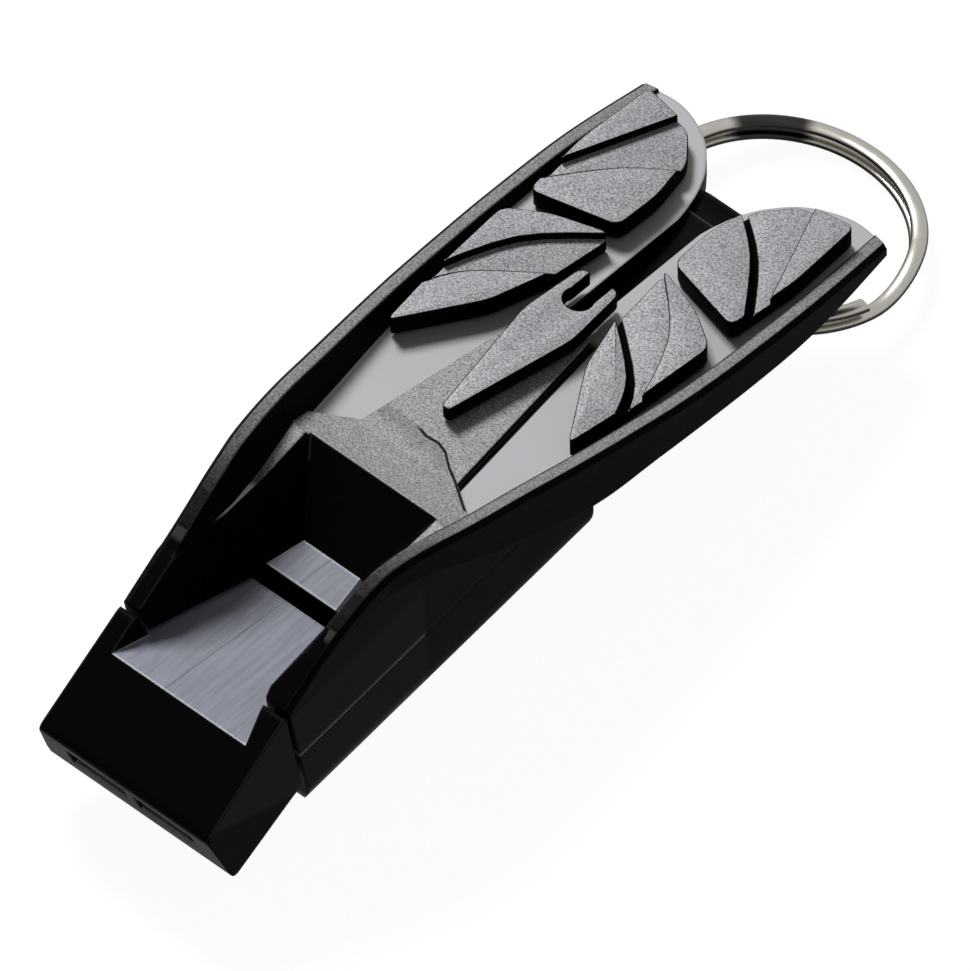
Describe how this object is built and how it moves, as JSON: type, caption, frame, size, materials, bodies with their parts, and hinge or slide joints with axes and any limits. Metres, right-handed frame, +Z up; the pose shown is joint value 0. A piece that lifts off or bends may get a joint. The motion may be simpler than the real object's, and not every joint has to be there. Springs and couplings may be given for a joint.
{
  "type": "whistle",
  "caption": "Black moulded pealess whistle with flared wings, ribbed grip pads, an open sound valley and a steel split ring hung from the tail.",
  "frame": {"origin": "middle of the flat underside of the belly, where the whistle rests", "axes": "+Y from the mouthpiece to the tail, +Z up out of the deck, +X to the right seen from the mouthpiece"},
  "size_m": [0.0224, 0.0757, 0.0195],
  "materials": {
    "gloss_black": "polished moulded black",
    "satin_black": "fine-textured satin black",
    "pad_grey": "textured matt black grip",
    "ring_steel": "bright nickel-plated wire"
  },
  "bodies": {
    "body": {"mouthpiece": "gloss_black", "winged_shell": "satin_black", "lower_shell": "gloss_black", "tone_insert": "gloss_black", "left_outer_pad": "pad_grey", "right_outer_pad": "pad_grey", "left_inner_pad": "pad_grey", "right_inner_pad": "pad_grey", "centre_pad": "pad_grey"},
    "ring": {"split_ring": "ring_steel"}
  },
  "joints": [
    {"name": "ring_swing", "type": "hinge", "parent": "body", "child": "ring", "pos_m": [0, 0.03225, 0.00495], "axis": [1, 0, 0], "range_deg": [-85, 12]}
  ]
}
